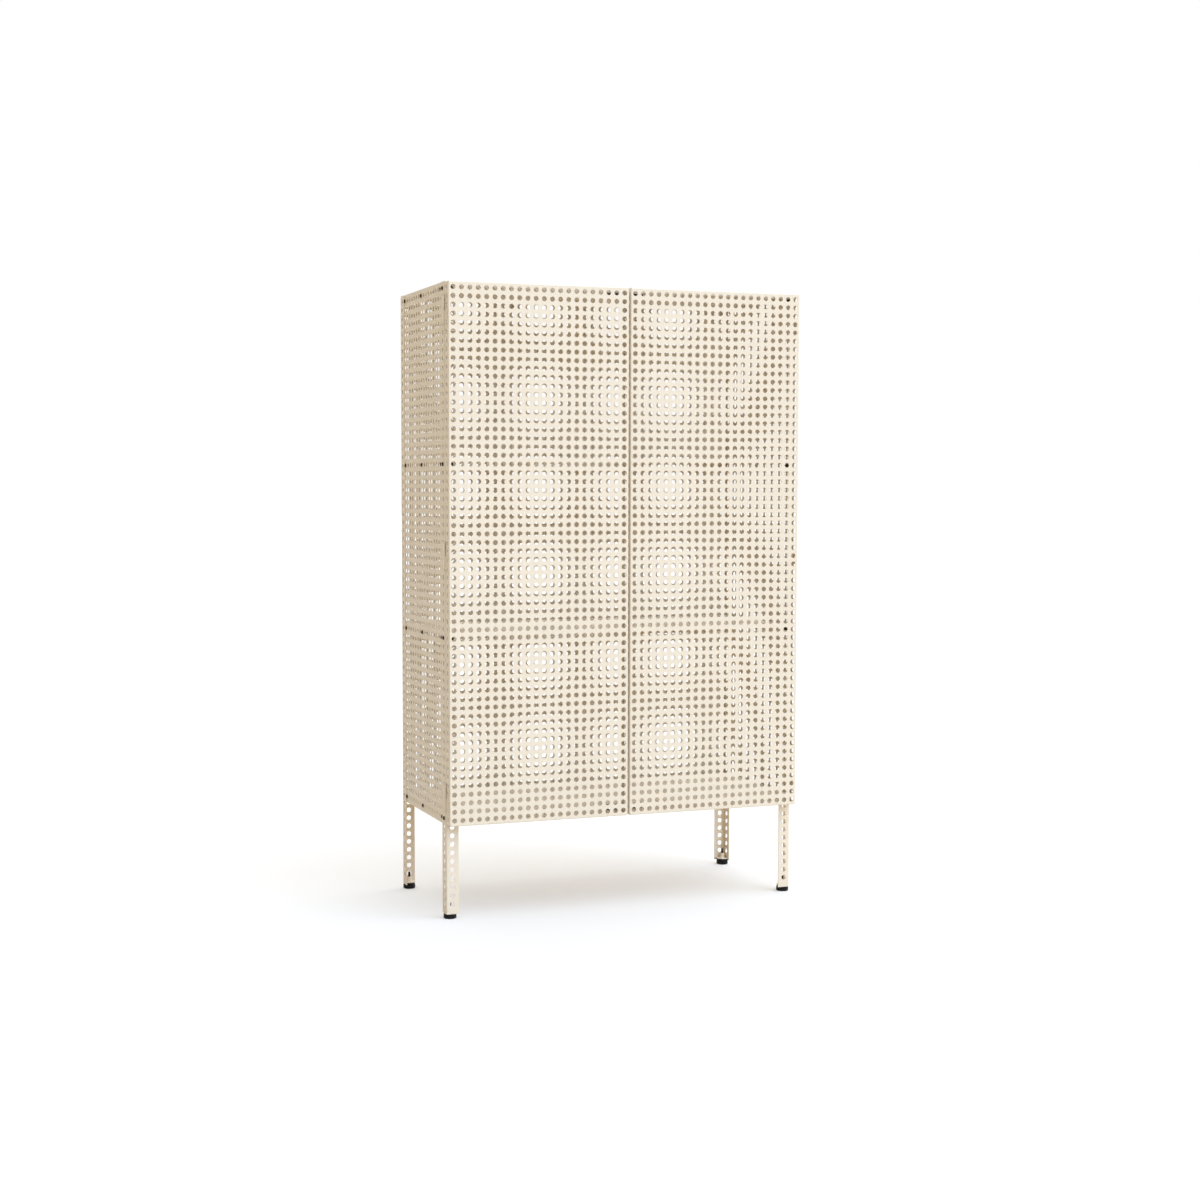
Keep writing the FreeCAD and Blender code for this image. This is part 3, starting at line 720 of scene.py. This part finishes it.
def pan(start, end, depth, middles, lip):
    """From one return to the other. With a lip, each return is folded in once more."""
    profile = Profile()
    if lip:
        profile.to(start + lip, depth, 90)
        profile.bend(start + FOLD_OUT, depth - FOLD_OUT, FOLD_OUT, 90, 180)
    else:
        profile.to(start, depth, 180)
    profile.to(start, RETURN_ROW + RETURN_CELL, 180)
    profile.to(start, RETURN_ROW - RETURN_CELL, 180, (start, RETURN_ROW))
    profile.bend(start + FOLD_OUT, FOLD_OUT, FOLD_OUT, 180, 270)
    profile.punched(start + FOLD_OUT, end - FOLD_OUT, middles)
    profile.bend(end - FOLD_OUT, FOLD_OUT, FOLD_OUT, 270, 360)
    profile.to(end, RETURN_ROW - RETURN_CELL, 360)
    profile.to(end, RETURN_ROW + RETURN_CELL, 360, (end, RETURN_ROW))
    if lip:
        profile.bend(end - FOLD_OUT, depth - FOLD_OUT, FOLD_OUT, 360, 450)
        profile.to(end - lip, depth, 450)
    else:
        profile.to(end, depth, 360)
    return profile


for side in ("left", "right"):
    node = "door_%s_panel" % side
    low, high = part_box(node)
    depth = high.y - low.y
    margin = ((high.x - low.x) - PITCH * (DOOR_COLUMNS - 1)) / 2
    columns = [low.x + margin + PITCH * k for k in range(DOOR_COLUMNS)]
    across = pan(low.x, high.x, depth, columns, DOOR_LIP)
    along = pan(low.z, high.z, depth, row_heights, 0)
    face_y = low.y

    def door_place(u, v, d):
        return Vector((u, face_y + d, v))
    door = sheet("steel_" + node, across, along, SHEET, door_place)
    stands_for(door, node, "door_" + side)


# Floor and background
# A plain white floor that runs to a white background. Seen by the camera or in a
# reflection, the floor is brought up to white, and the cabinet's shadow stays on it.
# Onto the cabinet it throws a warmer, dimmer light.
FLOOR_HALF = 60.0
FLOOR_SQUARES = 4
FLOOR_WARM = "#BEAD92"
FLOOR_LIT = 0.5
FLOOR_LIFT = 0.3
WHITE = [1, 1, 1, 1]

bm = bmesh.new()
bmesh.ops.create_grid(bm, x_segments=FLOOR_SQUARES, y_segments=FLOOR_SQUARES, size=FLOOR_HALF)
mesh = bpy.data.meshes.new("floor")
bm.to_mesh(mesh)
bm.free()
floor = bpy.data.objects.new("floor", mesh)
bpy.context.scene.collection.objects.link(floor)


def rays(tree, kinds):
    """1 for a ray of one of these kinds, else 0."""
    path = add(tree, "ShaderNodeLightPath", {}, {})
    seen = path.outputs[kinds[0]]
    for kind in kinds[1:]:
        seen = add(tree, "ShaderNodeMath", {"operation": "MAXIMUM"},
                   {0: seen, 1: path.outputs[kind]}).outputs[0]
    return seen


def mixed(tree, share, first, second):
    return add(tree, "ShaderNodeMixShader", {}, {0: share, 1: first, 2: second}).outputs[0]


material, tree = new_material("studio_floor")
seen = rays(tree, ("Is Camera Ray", "Is Glossy Ray", "Is Transmission Ray"))
warm = add(tree, "ShaderNodeBsdfDiffuse", {"Color": linear(FLOOR_WARM)}, {})
dimmed = add(tree, "ShaderNodeBsdfDiffuse", {"Color": [FLOOR_LIT] * 3 + [1]}, {})
lift = add(tree, "ShaderNodeEmission", {"Color": WHITE, "Strength": FLOOR_LIFT}, {})
both = add(tree, "ShaderNodeAddShader", {}, {0: dimmed.outputs[0], 1: lift.outputs[0]})
surface = mixed(tree, seen, warm.outputs[0], both.outputs[0])
add(tree, "ShaderNodeOutputMaterial", {}, {"Surface": surface})
mesh.materials.append(material)


# Lamps and camera
# Soft studio light: a surround that is brighter on the right and brightest behind, a wide
# light overhead and a softer one from the right of the doors, so that the left side falls
# into half shade and light comes through the holes.
FROM_LEFT = {"Color": [1.0, 0.72, 0.4, 1], "Strength": 0.2}
FROM_RIGHT = {"Color": [0.92, 0.96, 1.0, 1], "Strength": 1.1}
RIGHT_WAY = [1, 0, 1]
RIGHT_SPAN = (-0.45, 0.45)
FROM_BEHIND = {"Color": [1.0, 0.92, 0.8, 1], "Strength": 2.9}
BEHIND_WAY = [0.7, 0.7, 0]
BEHIND_SPAN = (0.3, 0.9)
LAMPS = {
    "overhead": {"strength": 0.95, "softness": 60, "height": 76, "heading": 20,
                 "colour": [0.92, 0.95, 1.0]},
    "right_front": {"strength": 1.35, "softness": 60, "height": 40, "heading": 40,
                    "colour": [0.8, 0.95, 1.18]},
}

scene = bpy.context.scene
world = bpy.data.worlds.new("studio")
scene.world = world
world.use_nodes = True
tree = world.node_tree
tree.nodes.clear()
seen = rays(tree, ("Is Camera Ray", "Is Transmission Ray"))
direction = add(tree, "ShaderNodeTexCoord", {}, {}).outputs["Generated"]
surround = add(tree, "ShaderNodeBackground", FROM_LEFT, {}).outputs[0]
for way, span, light in ((RIGHT_WAY, RIGHT_SPAN, FROM_RIGHT),
                         (BEHIND_WAY, BEHIND_SPAN, FROM_BEHIND)):
    nearness = add(tree, "ShaderNodeVectorMath", {"operation": "DOT_PRODUCT", 1: way},
                   {0: direction})
    share = mapped(tree, nearness.outputs["Value"], span)
    lit = add(tree, "ShaderNodeBackground", light, {})
    surround = mixed(tree, share, surround, lit.outputs[0])
white = add(tree, "ShaderNodeBackground", {"Color": WHITE, "Strength": 1.0}, {})
surface = mixed(tree, seen, surround, white.outputs[0])
add(tree, "ShaderNodeOutputWorld", {}, {"Surface": surface})


def direction_of(heading, rise):
    """heading is measured from the doors' own direction, round to the cabinet's right."""
    return Vector((math.sin(heading) * math.cos(rise), -math.cos(heading) * math.cos(rise),
                   math.sin(rise)))


for name, lamp in LAMPS.items():
    data = bpy.data.lights.new(name, "SUN")
    data.energy = lamp["strength"]
    data.color = lamp["colour"]
    data.angle = math.radians(lamp["softness"])
    source = direction_of(math.radians(lamp["heading"]), math.radians(lamp["height"]))
    light = bpy.data.objects.new(name, data)
    light.rotation_euler = source.to_track_quat("Z", "Y").to_euler()
    scene.collection.objects.link(light)

# The camera stands 4.5 m off, to the left of the doors and 1.0 m up, and looks slightly
# down. Its two shifts move the picture in the frame without turning the camera.
EYE = Vector((-1.6848, -4.2249, 1.0031))
YAW = 0.35056
PITCH_DOWN = 0.06282
FOCAL_SHARE = 1.53814
SHIFT_RIGHT_SHARE = 0.04626
SHIFT_UP_SHARE = 0.00236
SENSOR = 36.0

camera_data = bpy.data.cameras.new("camera")
camera_data.sensor_width = SENSOR
camera_data.lens = FOCAL_SHARE * SENSOR
camera_data.shift_x = SHIFT_RIGHT_SHARE
camera_data.shift_y = SHIFT_UP_SHARE
camera_data.clip_end = 2 * FLOOR_HALF
camera = bpy.data.objects.new("camera", camera_data)
ahead = Vector((math.sin(YAW) * math.cos(PITCH_DOWN), math.cos(YAW) * math.cos(PITCH_DOWN),
                -math.sin(PITCH_DOWN)))
level = Vector((math.cos(YAW), -math.sin(YAW), 0))
upright = level.cross(ahead)
turned = Matrix((level, upright, -ahead)).transposed()
camera.matrix_world = Matrix.Translation(EYE) @ turned.to_4x4()
scene.collection.objects.link(camera)
scene.camera = camera
scene.view_settings.view_transform = "Standard"


bpy.context.view_layer.update()
